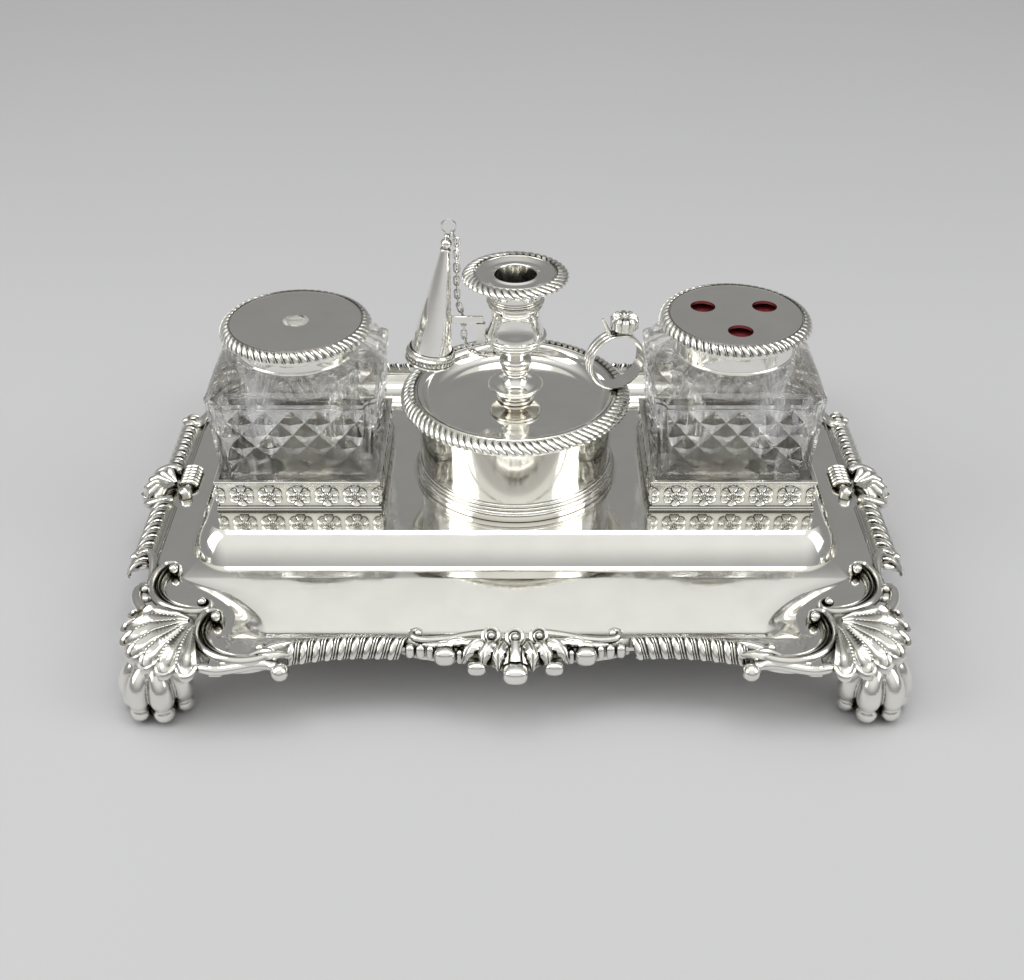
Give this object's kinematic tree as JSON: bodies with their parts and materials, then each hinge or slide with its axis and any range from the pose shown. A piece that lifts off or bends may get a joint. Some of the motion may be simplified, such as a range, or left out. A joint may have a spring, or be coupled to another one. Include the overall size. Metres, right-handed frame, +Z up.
{
  "type": "desk inkstand",
  "caption": "Silver desk inkstand: footed tray with two pen troughs, two cut-glass inkwells, and a wafer box whose lid is a chamberstick with nozzle, extinguisher and ring handle.",
  "frame": {"origin": "on the table under the middle of the tray", "axes": "+Z up, -Y the front with the nearer pen trough, +X towards the inkwell with three quill holes"},
  "size_m": [0.3284, 0.2546, 0.1557],
  "materials": {
    "polished_silver": "polished silver plate with fine wear",
    "chased_silver": "cast and chased silver, darker in the hollows",
    "cut_glass": "clear cut lead glass",
    "red_leather": "dark red, matt"
  },
  "bodies": {
    "tray": {"tray_plate": "polished_silver", "gadroon_front": "chased_silver", "gadroon_rear": "chased_silver", "gadroon_left": "chased_silver", "gadroon_right": "chased_silver", "corner_shell_front_left": "chased_silver", "corner_shell_front_right": "chased_silver", "corner_shell_rear_left": "chased_silver", "corner_shell_rear_right": "chased_silver", "centre_shell_front": "chased_silver", "centre_shell_rear": "chased_silver", "side_shell_left": "chased_silver", "side_shell_right": "chased_silver", "paw_foot_front_left": "chased_silver", "paw_foot_front_right": "chased_silver", "paw_foot_rear_left": "chased_silver", "paw_foot_rear_right": "chased_silver", "left_gallery": "chased_silver", "right_gallery": "chased_silver", "wafer_box": "polished_silver", "wafer_box_foot_ring": "chased_silver"},
    "left_inkwell": {"left_bottle": "cut_glass", "left_collar": "polished_silver"},
    "right_inkwell": {"right_bottle": "cut_glass", "right_collar": "polished_silver"},
    "left_cap": {"left_cap": "polished_silver", "left_cap_rim": "chased_silver"},
    "right_cap": {"right_cap": "polished_silver", "right_cap_rim": "chased_silver", "quill_disc": "red_leather"},
    "chamberstick": {"dish": "polished_silver", "dish_rim": "chased_silver", "stem": "polished_silver", "candle_socket": "polished_silver", "ring_handle": "polished_silver", "thumb_flower": "chased_silver", "chain": "chased_silver"},
    "nozzle": {"nozzle": "polished_silver", "nozzle_rim": "chased_silver"},
    "extinguisher": {"extinguisher_cone": "polished_silver", "extinguisher_foot": "chased_silver", "extinguisher_finial": "chased_silver", "extinguisher_hook": "polished_silver"}
  },
  "joints": [
    {"name": "left_inkwell_lift", "type": "slide", "parent": "tray", "child": "left_inkwell", "axis": [0, 0, 1], "range_m": [0, 0.06]},
    {"name": "right_inkwell_lift", "type": "slide", "parent": "tray", "child": "right_inkwell", "axis": [0, 0, 1], "range_m": [0, 0.06]},
    {"name": "left_cap_lift", "type": "slide", "parent": "left_inkwell", "child": "left_cap", "axis": [0, 0, 1], "range_m": [0, 0.03]},
    {"name": "right_cap_lift", "type": "slide", "parent": "right_inkwell", "child": "right_cap", "axis": [0, 0, 1], "range_m": [0, 0.03]},
    {"name": "chamberstick_lift", "type": "slide", "parent": "tray", "child": "chamberstick", "axis": [0, 0, 1], "range_m": [0, 0.04]},
    {"name": "nozzle_lift", "type": "slide", "parent": "chamberstick", "child": "nozzle", "axis": [0, 0, 1], "range_m": [0, 0.025]},
    {"name": "extinguisher_lift", "type": "slide", "parent": "chamberstick", "child": "extinguisher", "axis": [0, 0, 1], "range_m": [0, 0.0065], "deforming": ["chain"]}
  ]
}
